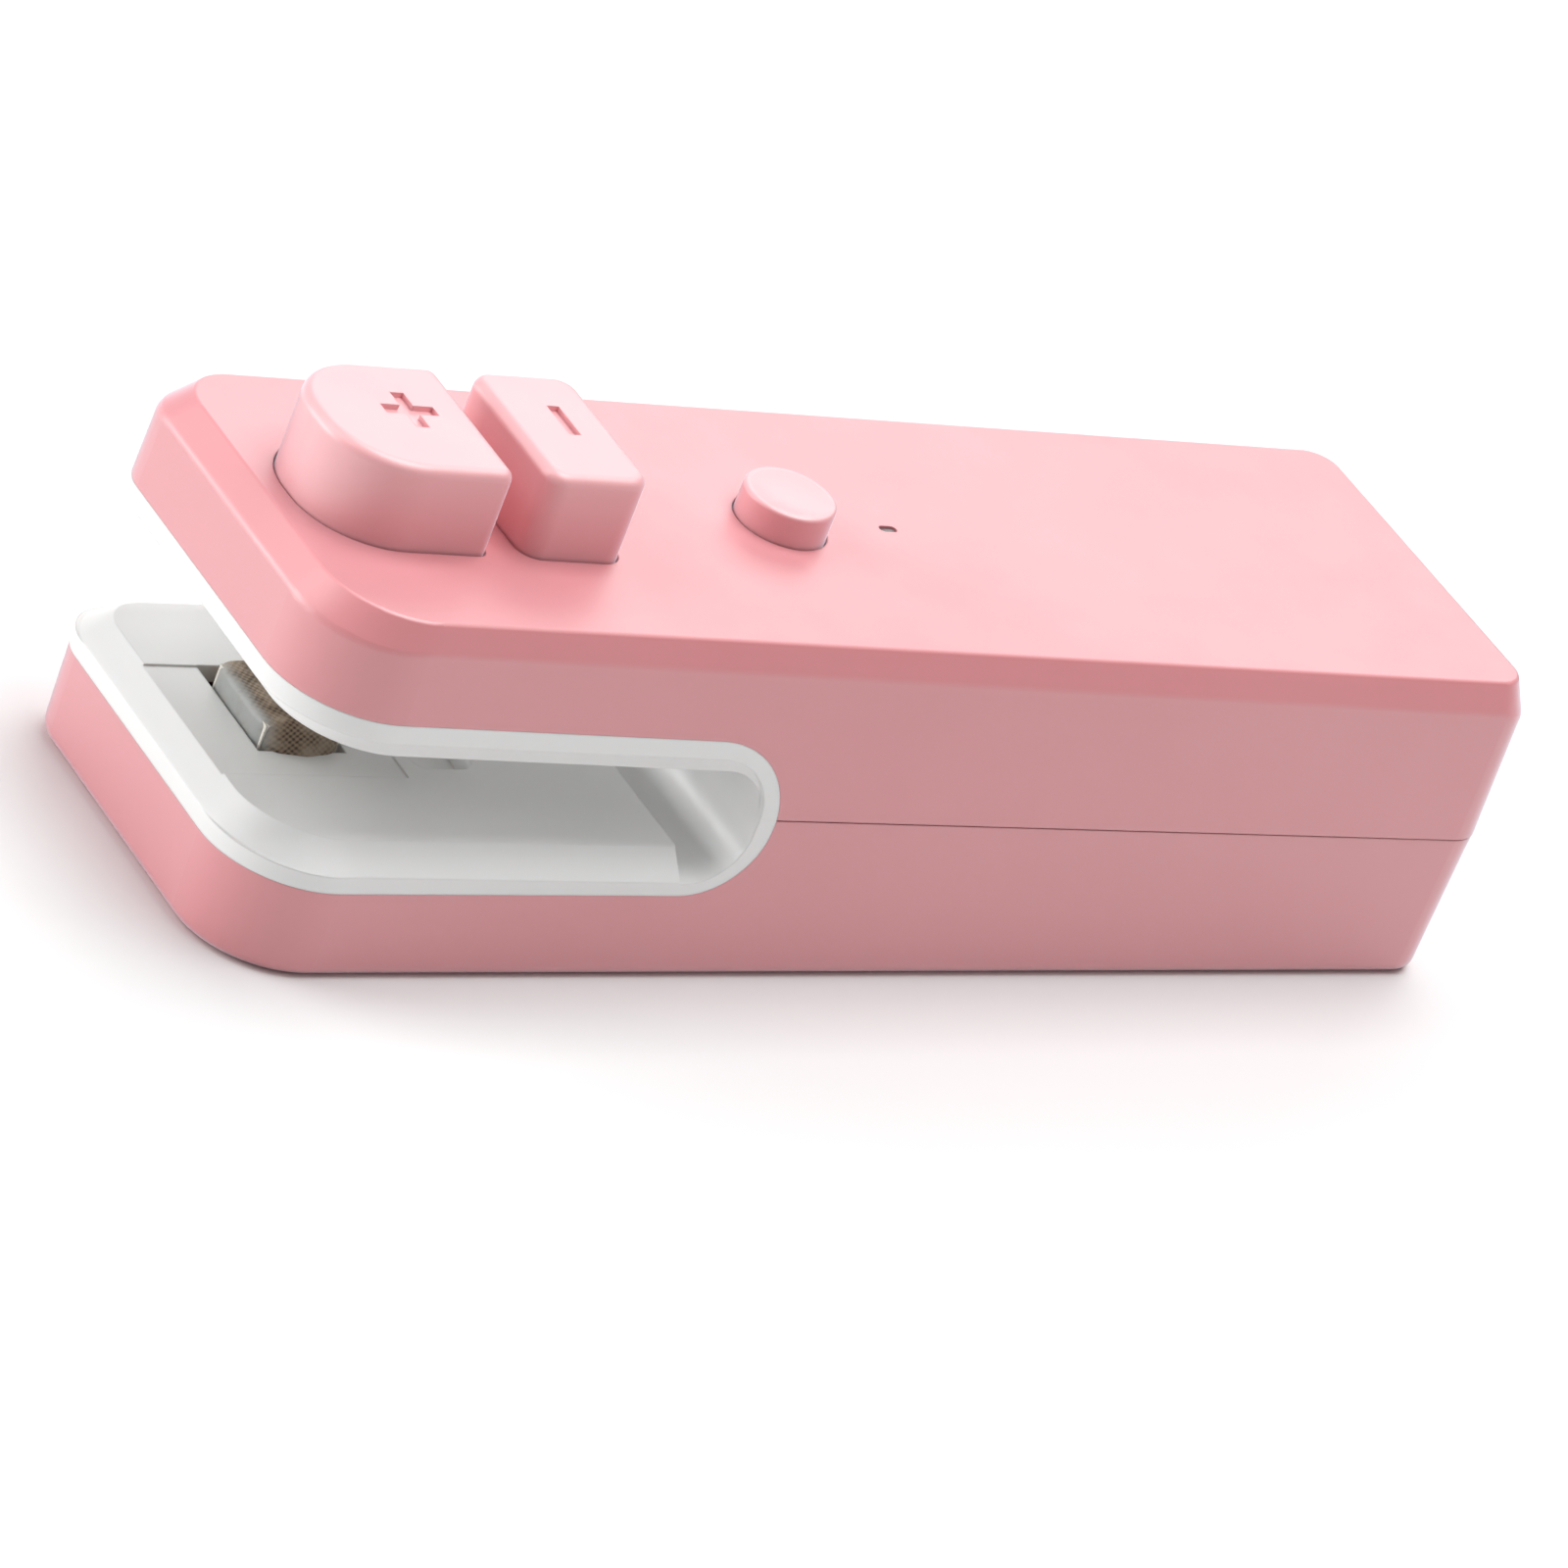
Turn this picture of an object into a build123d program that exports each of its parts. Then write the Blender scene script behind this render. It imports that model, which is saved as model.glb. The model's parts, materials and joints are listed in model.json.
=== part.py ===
from build123d import *
import os
from math import radians, tan

os.makedirs("parts", exist_ok=True)

# A hand-held bag heat sealer. The nose, with the open mouth, points to -X; +Z is up.
# The origin is the centre of the flat bottom. x_n() turns a distance from the nose into X.
# All sizes are in millimetres.

# --- body ---
LENGTH = 105.0
WIDTH = 33.15                  # at the parting plane, where the body is widest
NOSE_HEIGHT = 29.53            # bottom to top, at the nose
TOP_SLOPE = 0.0369             # the top falls towards the rear
PART_NOSE = 14.81              # height of the parting plane at the nose
PART_SLOPE = 0.0221
PART_GAP = 0.10                # the joint line between the shells
DRAFT = 1.5                    # degrees, away from the parting plane
NOSE_RADII = (7.9, 4.5)        # corners of the nose on the -Y and +Y sides
REAR_RADIUS = 3.0
WALL = 1.8
BEVEL_DROP = 2.03              # bevel round the top face
BEVEL_SIDE = 0.9
BEVEL_NOSE = 1.76
TOP_FACE_NOSE_RADII = (6.6, 4.4)
TOP_FACE_REAR_RADIUS = 2.2
BEVEL_FILLET = 1.0             # softens the bevel's lower edge
RIM_FILLET = 0.3               # and its upper edge
BOTTOM_FILLET = 1.2

# --- mouth, as seen from the side ---
MOUTH_TOP = 21.74              # outer edge of the liner at the nose
MOUTH_TOP_SLOPE = 0.0361
MOUTH_BOTTOM = 7.40
MOUTH_BOTTOM_SLOPE = 0.003
MOUTH_DEPTH = 41.3
MOUTH_RADII = (7.2, 5.65)
THROAT_TOP = 19.05             # ceiling between the jaws, at the nose
THROAT_BOTTOM = 8.85           # inner edge of the lower rim, at the nose
THROAT_BOTTOM_SLOPE = 0.0148
THROAT_DEPTH = 39.85
THROAT_RADII = (3.9, 4.2)
LIP_HEIGHT = 1.15              # ceiling lip, set in from the outer rim
LIP_SIDE_INSET = 0.4
LIP_NOSE_INSET = 1.5

# --- tray of the lower jaw ---
DECK_RISE = 1.8                # deck above the rim
DECK_NOSE = 2.1
DECK_END = 35.5
DECK_HALF_WIDTH = 14.35
DECK_SLOPE_SIDE = 2.15
DECK_SLOPE_NOSE = 1.95
DECK_RADII = (6.5, 3.3)
RECESS_END = 17.2              # shallow step round the heating bar
RECESS_HALF_WIDTH = 6.6
RECESS_DEPTH = 0.12
PLATE = 1.4                    # wall thickness of the liner
CEILING_POCKET = (2.6, 34.5)   # hollows behind the liner's faces
CEILING_POCKET_HALF_WIDTH = 12.7
TRAY_POCKETS = ((5.0, 17.6), (26.0, 33.5))
TRAY_POCKET_HALF_WIDTH = 12.4
WINDOW_GAP = 0.4               # round the press head
BLADE_WINDOW = (2.7, 10.4)
BAR_GAP = 0.2

# --- keys, measured from the nose ---
MID_Y = 0.4                    # keys, blade, button and light are this far off centre
KEY_PROUD = 6.7
KEY_HALF_WIDTH = 6.8
PLUS_X = (3.95, 16.95)
PLUS_NOSE_RADIUS = 6.2
MINUS_X = (19.9, 28.35)
KEY_CLEARANCE = 0.14
KEY_WALL = 1.3
KEY_HOLLOW_INSET = 0.8         # sides of the space inside a key
KEY_TOP_FILLET = 0.8
STOP_GAP = 0.35                # flange to shell at rest
FLANGE_HALF_WIDTH = 10.4
PLUS_FLANGE_BOTTOM = 25.6
MINUS_FLANGE_BOTTOM = 25.2
KEY_CORNERS = (0.9, 1.6, 1.7)  # rear of the plus key, then nose and rear of the minus key
PLUS_FLANGE_X = (3.15, 17.65)
MINUS_FLANGE_X = (19.2, 28.95)
PLUS_POST_X = 9.9              # posts inside the keys, for the screws from below
MINUS_POST_X = 26.0
POST_Y = 3.6
POST_RADIUS = 1.5
PLUS_POST_HOLE_TOP = 31.0
MINUS_POST_HOLE_TOP = 32.0
MARK_DEPTH = 0.4
MARK_Y = 1.2
MARK_WIDTH = 1.1
PLUS_MARK_X = 11.9
PLUS_MARK_LENGTH = 4.3
MINUS_MARK_X = 24.7
MINUS_MARK = (1.0, 3.6)

# --- springs under the key flanges ---
PLUS_SPRING_X = 10.0
MINUS_SPRING_X = 24.2
SPRING_Y = 8.6
SPRING_RADIUS = 1.25
SPRING_WIRE = 0.16
SPRING_TURNS = 4.5
SPRING_SEAT_RADIUS = 1.65
SPRING_SEAT_DEPTH = 0.8
SPRING_CUP_DEPTH = 0.5

# --- heater ---
BAR_X = (6.6, 13.4)
BAR_Y = 0.85
BAR_HALF_LENGTH = 4.25
BAR_TOP = 12.4
BAR_SLOT = (-3.6, 6.65)        # the slot round the bar, open at its far end
BASE_Z = (4.0, 5.4)            # plate under the bar
BASE_HALF_LENGTH = 10.2
BASE_SCREW_Y = 8.2
BLOCK_HALF_LENGTH = 3.8
CLOTH = 0.2
CLOTH_BOW = 1.0
CLOTH_BOTTOM = 7.6
CLIP = 0.4                     # terminal thickness
CLIP_HALF_WIDTH = 1.9
CLIP_TOP = 7.4
BASE_MARGIN = 1.2              # plate beyond the bar
RIBBON_WIDTH = 3.2
RIBBON = 0.12
PAD_BOTTOM = 17.3              # silicone pad at rest
PAD_THICKNESS = 2.3
HEAD_X = (6.6, 13.4)
HEAD_HALF_LENGTH = 5.6

# --- cutter ---
BLADE_X = 21.8
BLADE_THICKNESS = 0.5
BLADE_HALF_WIDTH = 4.2
BLADE_TIP = 14.6
BLADE_POINT = 1.8              # height of its ground point
CARRIER_X = (21.0, 27.2)       # the plate sits inside the hollow of the minus key
CARRIER_Z = (25.9, 27.5)
CARRIER_HALF_LENGTH = 5.5
CLAMP_BOTTOM = 19.6
CLAMP_HALF_THICKNESS = 1.0
CLAMP_MARGIN = 0.6
GROOVE_X = (18.4, 23.4)
GROOVE_HALF_LENGTH = 5.85
GROOVE_RADIUS = 1.2
GROOVE_DEPTH = 1.6

# --- power button, light and electronics ---
BUTTON_X = 45.3
BUTTON_RADIUS = 3.5
BUTTON_CLEARANCE = 0.14
BUTTON_FLANGE = 0.9
BUTTON_PROUD = 2.5
BUTTON_FLANGE_Z = (24.7, 25.6)
PLUNGER_TOP = 24.4
DISH_RADIUS = 15.0
DISH_DEPTH = 0.3
STEM_RADIUS = 1.5
SWITCH_HALF_WIDTH = 3.0
SWITCH_TOP = 23.6
PLUNGER_RADIUS = 1.6
PLUNGER_BOTTOM = 23.0
LIGHT_X = 54.75
LIGHT_SLOT = (1.5, 0.75)
LIGHT_FIT = 0.03
LIGHT_BOTTOM = 23.1
COLLAR = (3.4, 2.6)
COLLAR_BOTTOM = 24.6
LAMP = (2.0, 1.3, 0.8)
BOARD_TOP = 22.0
BOARD = 1.0
BOARD_X = (39.0, 102.0)
BOARD_HALF_WIDTH = 8.8
BOARD_SCREW_X = (52.0, 94.0)
BOARD_SCREW_Y = 7.2
SOCKET_HALF_WIDTH = 3.75
SOCKET_HEIGHT = 2.6
SOCKET_LENGTH = 5.6
SOCKET_WALL = 0.35
SOCKET_SINK = 0.9              # mouth of the socket, in from the rear face
TONGUE_HALF_WIDTH = 1.9
TONGUE_HEIGHT = 0.5
COMPONENTS = [                 # distance, y, length, width and height of each
    (60.0, 0.0, 5.0, 4.0, 1.2),
    (68.5, 2.6, 5.0, 5.0, 0.9),
    (68.5, -4.6, 3.0, 3.0, 1.1),
    (78.0, 1.5, 6.0, 6.0, 3.0),
    (86.5, 3.8, 3.2, 1.6, 1.3),
    (86.5, 0.6, 3.2, 1.6, 1.3),
    (86.5, -2.6, 3.2, 1.6, 1.3),
]
SEAL_SWITCH_X = (14.6, 17.4)
SEAL_SWITCH_HALF_WIDTH = 2.4
SEAL_SWITCH_HEIGHT = 0.45
BATTERY = (40.0, 20.0, 8.0)
BATTERY_X = 73.0
BATTERY_TAPE = 0.5
TAPE_HALF_WIDTH = 7.5
RIB_GAP = 0.4                  # ribs of the lower shell at the battery's ends
RIB = 1.0
RIB_HALF_WIDTH = 8.0
RIB_TOP = 6.0
LEAD_RADIUS = 0.55
HEATER_LEAD_TURN = 2.0
BATTERY_LEAD_TURN = 1.6
BATTERY_LEAD_Y = 2.2
BATTERY_LEAD_REACH = 3.0
BATTERY_LEAD_DROP = 1.4

# --- screws: radius, head radius and head height ---
SHELL_SCREW = (0.9, 2.0, 1.4)
FRONT_SCREW = (0.85, 1.8, 1.3)
CEILING_SCREW = (0.8, 1.6, 0.7)
BOARD_SCREW = (0.7, 1.5, 0.9)
BASE_SCREW = (0.7, 1.4, 0.8)
HEAD_SCREW = (0.6, 1.1, 0.8)
CARRIER_SCREW = (0.6, 1.1, 0.7)
SHELL_SCREW_X = (48.5, 98.0)
SHELL_SCREW_Y = 11.6
SHELL_SCREW_Z = (5.0, 19.5)    # under the head, and at the tip
FRONT_SCREW_X = 17.0
FRONT_SCREW_Y = 11.0
FRONT_SCREW_Z = (2.0, 8.4)
CEILING_SCREW_X = 32.0
CEILING_SCREW_Y = 11.0
CEILING_SCREW_TIP = 24.5
CEILING_SCREW_SEAT = 0.75      # under its head, above the ceiling
BOARD_SCREW_TIP = 23.8
BASE_SCREW_TIP = 1.8
HEAD_SCREW_SEAT = 1.0          # under its head, above the pad
HEAD_SCREW_TIP = 30.0
CARRIER_SCREW_TIP = 31.0
SCREW_FIT = 0.02               # between a screw and the hole it cuts its thread in

# --- bosses and screw holes ---
SHELL_BOSS = 2.6               # in the upper shell, for the long screws
SHELL_HOLE_TOP = 20.5
SHELL_SEAT = 2.9               # in the lower shell, round the sunk heads
SHELL_SEAT_BORE = 2.2
SHELL_BORE = 1.15
BOARD_BOSS = 2.0
BOARD_HOLE_TOP = 24.0
BOARD_BORE = 0.85
CEILING_BOSS = 1.6
CEILING_HOLE = (18.0, 25.0)
CEILING_SEAT_BORE = 1.8
CEILING_BORE = 0.95
FRONT_SEAT = 2.7
FRONT_SEAT_TOP = 3.6
FRONT_SEAT_BORE = 2.0
FRONT_BORE = 1.1
FRONT_BOSS = 2.2
FRONT_HOLE_TOP = 8.6
BASE_BOSS = 1.7
BASE_HOLE_BOTTOM = 1.4
BASE_BORE = 0.85
HEAD_BORE = 0.7
HEAD_SEAT_BORE = 1.2
CARRIER_BORE = 0.7

NOSE = -LENGTH / 2
BAR_MIDDLE = sum(BAR_X) / 2
TOP_OPENING = (22.0, 40.0)      # heights between which the openings in the top are cut
REACH = 60.0                   # longer than any half size, for cutting tools


def x_n(distance):
    """X of a point at a distance behind the nose."""
    return NOSE + distance


def top_z(distance):
    """Height of the top face at a distance behind the nose."""
    return NOSE_HEIGHT - TOP_SLOPE * distance


def ceiling_z(distance):
    """Height of the mouth's ceiling."""
    return THROAT_TOP - MOUTH_TOP_SLOPE * distance


def rim_z(distance):
    """Height of the inner edge of the lower rim."""
    return THROAT_BOTTOM - THROAT_BOTTOM_SLOPE * distance


def deck_z(distance):
    """Height of the tray's deck."""
    return rim_z(distance) + DECK_RISE


def sloped(height, slope):
    """A plane at a height at the nose that falls towards the rear."""
    return Plane(origin=(NOSE, 0, height), x_dir=(1, 0, -slope), z_dir=(slope, 0, 1))


def on_plane(vertex, plane, tolerance=0.15):
    return abs(plane.to_local_coords(vertex.center()).Z) < tolerance


def below(shape, plane):
    return split(shape, bisect_by=plane, keep=Keep.BOTTOM)


def above(shape, plane):
    return split(shape, bisect_by=plane, keep=Keep.TOP)


def block(x0, x1, half_width, z0, z1, y=0.0):
    """A box between two distances behind the nose and two heights."""
    size = (x1 - x0, 2 * half_width, z1 - z0)
    return Pos(x_n((x0 + x1) / 2), y, (z0 + z1) / 2) * Box(*size)


def post(distance, y, radius, z0, z1):
    """An upright cylinder between two heights."""
    return Pos(x_n(distance), y, (z0 + z1) / 2) * Cylinder(radius, z1 - z0)


def outline(x0, x1, half_width, front_radii, rear_radius):
    """A rounded rectangle in plan, between two distances behind the nose.

    front_radii is one radius, or those of the nose's corners on the -Y and +Y sides.
    """
    face = Pos(x_n((x0 + x1) / 2), 0) * Rectangle(x1 - x0, 2 * half_width)
    if isinstance(front_radii, (int, float)):
        front_radii = (front_radii, front_radii)
    for side, radius in zip((-1, 1), front_radii):
        corner = face.vertices().sort_by_distance((x_n(x0), side * half_width, 0))[0]
        face = fillet(corner, radius)
    return fillet(face.vertices().sort_by(Axis.X)[-2:], rear_radius)


def shrunk(radii, inset):
    return tuple(radius - inset for radius in radii)


def body_outline(inset=0.0):
    rear = max(REAR_RADIUS - inset, 0.8)
    half = WIDTH / 2 - inset
    return outline(inset, LENGTH - inset, half, shrunk(NOSE_RADII, inset), rear)


def section(plane, x0, x1, half_width, front_radii, rear_radius):
    """The same rounded rectangle, drawn on a sloped plane through the nose."""
    flat = outline(x0, x1, half_width, front_radii, rear_radius)
    return plane * Pos(-NOSE, 0) * flat


def tapered(face, z, height, upwards):
    direction = (0, 0, 1) if upwards else (0, 0, -1)
    return extrude(Pos(0, 0, z) * face, amount=height, dir=direction, taper=DRAFT)


def side_prism(points, rounded):
    """A slab across the body from a side outline; rounded maps a corner's index to its radius."""
    face = make_face(Polyline(*points, close=True))
    corners = [face.vertices().sort_by_distance(points[i] + (0,))[0] for i in rounded]
    for corner, radius in zip(corners, rounded.values()):
        nearest = face.vertices().sort_by_distance(corner.center())[0]
        face = fillet(nearest, radius)
    return extrude(Plane.XZ * face, amount=REACH, both=True)


def mouth_prism(top, top_slope, bottom, bottom_slope, depth, radii):
    """The mouth as a slab: open past the nose, with a rounded closed end."""
    lead = -4.0
    points = [
        (x_n(lead), top - top_slope * lead),
        (x_n(depth), top - top_slope * depth),
        (x_n(depth), bottom - bottom_slope * depth),
        (x_n(lead), bottom - bottom_slope * lead),
    ]
    return side_prism(points, {1: radii[0], 2: radii[1]})


def mouth_outer():
    return mouth_prism(MOUTH_TOP, MOUTH_TOP_SLOPE, MOUTH_BOTTOM, MOUTH_BOTTOM_SLOPE,
                       MOUTH_DEPTH, MOUTH_RADII)


def throat():
    return mouth_prism(THROAT_TOP, MOUTH_TOP_SLOPE, THROAT_BOTTOM, THROAT_BOTTOM_SLOPE,
                       THROAT_DEPTH, THROAT_RADII)


# ---------------------------------------------------------------- body blanks

def bevel_ring():
    """What the bevel takes off round the top face."""
    run = tan(radians(DRAFT)) * (NOSE_HEIGHT - PART_NOSE)
    sections = []
    for drop in (6.0, -1.0):
        share = drop / BEVEL_DROP
        side = run + BEVEL_SIDE * (1 - share)
        nose = run + BEVEL_NOSE * (1 - share)
        front = [a + (b - a) * share for a, b in zip(TOP_FACE_NOSE_RADII, NOSE_RADII)]
        rear = TOP_FACE_REAR_RADIUS + (REAR_RADIUS - TOP_FACE_REAR_RADIUS) * share
        plane = sloped(NOSE_HEIGHT - drop, TOP_SLOPE)
        sections.append(section(plane, nose, LENGTH - side, WIDTH / 2 - side, front, rear))
    slab = above(Box(3 * REACH, 3 * REACH, 3 * REACH), sloped(NOSE_HEIGHT - 5, TOP_SLOPE))
    return slab - loft(sections, ruled=True)


def upper_blank():
    """Outside of the body above the parting plane."""
    rear_part = PART_NOSE - PART_SLOPE * LENGTH
    solid = tapered(body_outline(), rear_part, NOSE_HEIGHT, True)
    solid = below(solid, sloped(NOSE_HEIGHT, TOP_SLOPE))
    solid = above(solid, sloped(PART_NOSE + PART_GAP / 2, PART_SLOPE))
    return solid - bevel_ring()


def lower_blank():
    """Outside of the body below the parting plane."""
    solid = tapered(body_outline(), PART_NOSE, PART_NOSE, False)
    solid = below(solid, sloped(PART_NOSE - PART_GAP / 2, PART_SLOPE))
    return fillet(solid.faces().sort_by(Axis.Z)[0].edges(), BOTTOM_FILLET)


def whole_blank():
    """Both halves in one, without the joint line, for the liner's flush faces."""
    rear_part = PART_NOSE - PART_SLOPE * LENGTH
    up = tapered(body_outline(), rear_part, NOSE_HEIGHT, True)
    up = above(up, sloped(PART_NOSE, PART_SLOPE))
    down = tapered(body_outline(), PART_NOSE, PART_NOSE, False)
    down = below(down, sloped(PART_NOSE, PART_SLOPE))
    return up + down


def soften_top(solid):
    """Rounds the bevel's lower edge widely and its upper edge finely."""
    low_line = sloped(NOSE_HEIGHT - BEVEL_DROP, TOP_SLOPE)
    lower = [e for e in solid.edges() if all(on_plane(v, low_line) for v in e.vertices())]
    solid = fillet(lower, BEVEL_FILLET)
    top = solid.faces().sort_by(Axis.Z)[-1]
    return fillet(top.edges(), RIM_FILLET)


# ---------------------------------------------------------------- shells

def plus_outline(offset_by=0.0):
    x0 = PLUS_X[0] - offset_by
    x1 = PLUS_X[1] + offset_by
    half = KEY_HALF_WIDTH + offset_by
    return Pos(0, MID_Y) * outline(x0, x1, half, PLUS_NOSE_RADIUS + offset_by,
                               KEY_CORNERS[0] + offset_by)


def minus_outline(offset_by=0.0):
    x0 = MINUS_X[0] - offset_by
    x1 = MINUS_X[1] + offset_by
    half = KEY_HALF_WIDTH + offset_by
    return Pos(0, MID_Y) * outline(x0, x1, half, KEY_CORNERS[1] + offset_by,
                               KEY_CORNERS[2] + offset_by)


def shaft_through(face, z0, z1):
    return extrude(Pos(0, 0, z0) * face, amount=z1 - z0)


def socket_opening():
    z = BOARD_TOP - BOARD - SOCKET_HEIGHT / 2
    slot = SlotOverall(2 * SOCKET_HALF_WIDTH + 1.0, SOCKET_HEIGHT + 0.9)
    wall = Plane(origin=(x_n(LENGTH - 4), 0, z), x_dir=(0, 1, 0), z_dir=(1, 0, 0))
    return extrude(wall * slot, amount=8)


def shell_screw_places():
    return [(x, s * SHELL_SCREW_Y) for x in SHELL_SCREW_X for s in (-1, 1)]


def board_screw_places():
    return [(x, s * BOARD_SCREW_Y) for x in BOARD_SCREW_X for s in (-1, 1)]


def upper_shell():
    part_plane = sloped(PART_NOSE + PART_GAP / 2, PART_SLOPE)
    inner = tapered(body_outline(WALL), PART_NOSE - PART_SLOPE * LENGTH - 1, NOSE_HEIGHT, True)
    inner = below(inner, sloped(NOSE_HEIGHT - WALL, TOP_SLOPE))
    outer = soften_top(upper_blank())
    bosses = Part()
    for x, y in shell_screw_places():
        bosses += post(x, y, SHELL_BOSS, 5, NOSE_HEIGHT)
    for x, y in board_screw_places():
        bosses += post(x, y, BOARD_BOSS, BOARD_TOP, NOSE_HEIGHT)
    for s in (-1, 1):
        column = post(CEILING_SCREW_X, s * CEILING_SCREW_Y, CEILING_BOSS, 15, NOSE_HEIGHT)
        bosses += above(column, sloped(THROAT_TOP + PLATE, MOUTH_TOP_SLOPE))
    bosses = above(bosses & inner, part_plane)
    shell = outer - inner - mouth_outer() + bosses
    for x, y in shell_screw_places():
        shell -= post(x, y, SHELL_SCREW[0] + SCREW_FIT, 5, SHELL_HOLE_TOP)
    for x, y in board_screw_places():
        shell -= post(x, y, BOARD_SCREW[0] + SCREW_FIT, BOARD_TOP - 1, BOARD_HOLE_TOP)
    for s in (-1, 1):
        radius = CEILING_SCREW[0] + SCREW_FIT
        shell -= post(CEILING_SCREW_X, s * CEILING_SCREW_Y, radius, *CEILING_HOLE)
    shell -= shaft_through(plus_outline(KEY_CLEARANCE), *TOP_OPENING)
    shell -= shaft_through(minus_outline(KEY_CLEARANCE), *TOP_OPENING)
    shell -= post(BUTTON_X, MID_Y, BUTTON_RADIUS + BUTTON_CLEARANCE, *TOP_OPENING)
    light = Pos(x_n(LIGHT_X), MID_Y) * SlotOverall(*LIGHT_SLOT)
    shell -= shaft_through(light, *TOP_OPENING)
    return shell - socket_opening()


def lower_shell():
    part_plane = sloped(PART_NOSE - PART_GAP / 2, PART_SLOPE)
    inner = tapered(body_outline(WALL), PART_NOSE + 1, PART_NOSE + 1 - WALL, False)
    bosses = Part()
    for x, y in shell_screw_places():
        bosses += post(x, y, SHELL_SEAT, 0, PART_NOSE)
    for s in (-1, 1):
        bosses += post(FRONT_SCREW_X, s * FRONT_SCREW_Y, FRONT_SEAT, 0, FRONT_SEAT_TOP)
        bosses += post(BAR_MIDDLE, s * BASE_SCREW_Y, BASE_BOSS, 0, BASE_Z[0])
    x_battery = BATTERY_X - BATTERY[0] / 2
    for x in (x_battery - RIB_GAP - RIB, x_battery + BATTERY[0] + RIB_GAP):
        bosses += block(x, x + RIB, RIB_HALF_WIDTH, 0, RIB_TOP)
    bosses = below(bosses & inner, part_plane)
    shell = lower_blank() - inner - mouth_outer() + bosses
    for x, y in shell_screw_places():
        shell -= post(x, y, SHELL_SEAT_BORE, -1, SHELL_SCREW_Z[0])
        shell -= post(x, y, SHELL_BORE, -1, 20)
    for s in (-1, 1):
        shell -= post(FRONT_SCREW_X, s * FRONT_SCREW_Y, FRONT_SEAT_BORE, -1, FRONT_SCREW_Z[0])
        shell -= post(FRONT_SCREW_X, s * FRONT_SCREW_Y, FRONT_BORE, -1, 5)
        radius = BASE_SCREW[0] + SCREW_FIT
        shell -= post(BAR_MIDDLE, s * BASE_SCREW_Y, radius, BASE_HOLE_BOTTOM, 5)
    return shell


# ---------------------------------------------------------------- mouth liner

def lip_rebate():
    """What is cut away so that the ceiling lip stands in from the outer rim."""
    rim_inner = mouth_prism(THROAT_TOP + LIP_HEIGHT, MOUTH_TOP_SLOPE, THROAT_BOTTOM,
                            THROAT_BOTTOM_SLOPE, THROAT_DEPTH, (5.0, THROAT_RADII[1]))
    half = WIDTH / 2 - 0.15 - LIP_SIDE_INSET
    kept = outline(LIP_NOSE_INSET, LENGTH, half, shrunk(NOSE_RADII, 1.0), 1)
    return rim_inner - shaft_through(kept, 0, 40)


def deck():
    """Raised floor of the tray, with sloping nose and sides."""
    sections = []
    for depth in (0.0, DECK_RISE + 0.7):
        share = depth / DECK_RISE
        plane = sloped(THROAT_BOTTOM + DECK_RISE - depth, THROAT_BOTTOM_SLOPE)
        nose = DECK_NOSE - DECK_SLOPE_NOSE * share
        half = DECK_HALF_WIDTH + DECK_SLOPE_SIDE * share
        sections.append(section(plane, nose, DECK_END, half, shrunk(DECK_RADII, -2 * share), 0.3))
    return loft(sections, ruled=True)


def groove():
    """Trough under the cutter blade."""
    face = RectangleRounded(GROOVE_X[1] - GROOVE_X[0], 2 * GROOVE_HALF_LENGTH, GROOVE_RADIUS)
    face = Pos(x_n(sum(GROOVE_X) / 2), MID_Y) * face
    floor = deck_z(BLADE_X) - GROOVE_DEPTH
    return shaft_through(face, floor, floor + 4)


def liner_pockets():
    """Hollows behind the visible faces of the liner."""
    over = extrude(outline(*CEILING_POCKET, CEILING_POCKET_HALF_WIDTH, 5, 1), amount=40)
    over = above(over, sloped(THROAT_TOP + PLATE, MOUTH_TOP_SLOPE))
    under = Part()
    for x0, x1 in TRAY_POCKETS:
        under += extrude(outline(x0, x1, TRAY_POCKET_HALF_WIDTH, 1.5, 1.5), amount=40)
    under = below(under, sloped(THROAT_BOTTOM + DECK_RISE - PLATE, THROAT_BOTTOM_SLOPE))
    return over + under


def liner_windows():
    """Openings for the press head, the blade and the heating bar."""
    x0, x1 = HEAD_X
    gap = WINDOW_GAP
    cut = block(x0 - gap, x1 + gap, HEAD_HALF_LENGTH + gap, 15, 24, MID_Y)
    length, width = (size / 2 for size in BLADE_WINDOW)
    cut += block(BLADE_X - length, BLADE_X + length, width, 15, 24, MID_Y)
    x0, x1 = BAR_X
    y0, y1 = BAR_SLOT
    cut += block(x0 - BAR_GAP, x1 + BAR_GAP, (y1 - y0) / 2, 4, 14, (y0 + y1) / 2)
    return cut


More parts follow.
